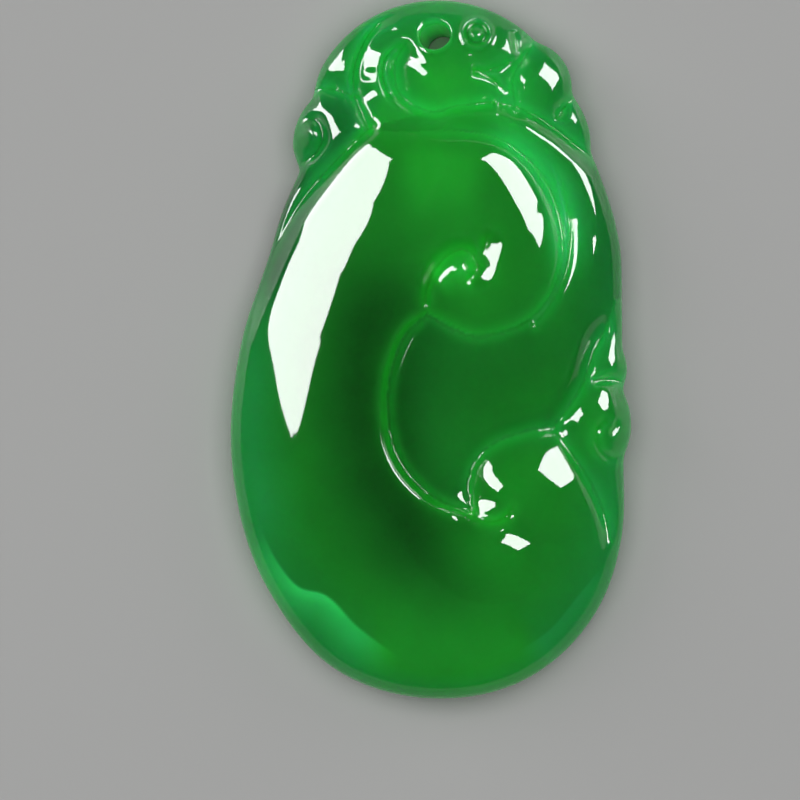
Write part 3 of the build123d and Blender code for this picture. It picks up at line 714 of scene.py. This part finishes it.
studio = {
    "cameraHeight": 1.0,
    "framed": 57.14,               # mm of the widest line's plane across the picture
    "aim": (-2.205, -3.604),       # mm, middle of the picture
    "lightDistance": 1.5,
    "lights": [                    # name, azimuth, elevation, roll, width, height, radiance of its glare
        ("tallLeft", 154.5, 26.0, -19.6, 0.60, 1.52, 15.5),
        ("upperRight", 35.6, 27.1, 17.2, 1.008, 0.704, 15.5)],
    "bodyShare": 0.1,              # of a softbox's light, as it lights everything but reflections
    "overhead": {"height": 2.0, "size": 2.4, "radiance": 1.6},
    "floor": 3.0,                  # half of its side
    "floorColour": (0.55, 0.55, 0.54, 1), "floorRoughness": 0.6,
    "world": (0.03, 0.032, 0.034),
}


def setCamera():
    # straight down; focal length = sensor's width * distance to the stone's widest line / width framed there
    data = bpy.data.cameras.new("camera")
    camera = bpy.data.objects.new("camera", data)
    bpy.context.scene.collection.objects.link(camera)
    height = studio["cameraHeight"]
    data.sensor_width = 36
    data.lens = data.sensor_width * (height - pendant["widestHeight"] * mm) / (studio["framed"] * mm)
    data.clip_start, data.clip_end = 0.05, 20
    camera.location = (studio["aim"][0] * mm, studio["aim"][1] * mm, height)
    bpy.context.scene.camera = camera


def areaLight(name, width, height, radiance, matrix):
    # a rectangle's power is its radiance times pi times its area
    data = bpy.data.lights.new(name, "AREA")
    data.shape = "RECTANGLE"
    data.size, data.size_y = width, height
    data.energy = radiance * np.pi * width * height
    light = bpy.data.objects.new(name, data)
    bpy.context.scene.collection.objects.link(light)
    light.matrix_world = matrix
    light.visible_camera = False
    return light


def setLights():
    # two softboxes, each as its glare on the polish and a weaker light for the rest, and an even light
    # overhead
    for name, azimuth, elevation, roll, width, height, radiance in studio["lights"]:
        a, e = np.radians((azimuth, elevation))
        out = Vector((np.cos(a) * np.cos(e), np.sin(a) * np.cos(e), np.sin(e)))
        level = Vector((0, 0, 1)).cross(out).normalized()
        side = Matrix.Rotation(np.radians(roll), 3, out) @ level
        turn = Matrix((side, out.cross(side), out)).transposed()
        matrix = Matrix.Translation(out * studio["lightDistance"]) @ turn.to_4x4()
        glare = areaLight(name + "Glare", width, height, radiance, matrix)
        glare.visible_diffuse = False
        body = areaLight(name + "Body", width, height, radiance * studio["bodyShare"], matrix)
        body.visible_glossy = False
    over = studio["overhead"]
    matrix = Matrix.Translation((0, 0, over["height"]))
    areaLight("overhead", over["size"], over["size"], over["radiance"], matrix).visible_glossy = False


def setFloor():
    half = studio["floor"]
    mesh = bpy.data.meshes.new("floor")
    corners = [(-half, -half, 0), (half, -half, 0), (half, half, 0), (-half, half, 0)]
    mesh.from_pydata(corners, [], [(0, 1, 2, 3)])
    floor = bpy.data.objects.new("floor", mesh)
    bpy.context.scene.collection.objects.link(floor)
    material = bpy.data.materials.new("paleFloor")
    material.use_nodes = True
    shader = material.node_tree.nodes["Principled BSDF"]
    shader.inputs["Base Color"].default_value = studio["floorColour"]
    shader.inputs["Roughness"].default_value = studio["floorRoughness"]
    mesh.materials.append(material)
    world = bpy.data.worlds.new("studio")
    world.use_nodes = True
    world.node_tree.nodes["Background"].inputs["Color"].default_value = (*studio["world"], 1)
    bpy.context.scene.world = world


setCamera()
setLights()
setFloor()
print("camera, lights and floor set")

stone = bpy.data.objects.new("carvedStone", stoneMesh())
bpy.context.scene.collection.objects.link(stone)
stone.data.materials.append(stoneMaterial())
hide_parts("ruyi_pendant")
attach(stone, "root")
print("stone carved and polished")

bpy.context.scene.view_settings.view_transform = "Standard"
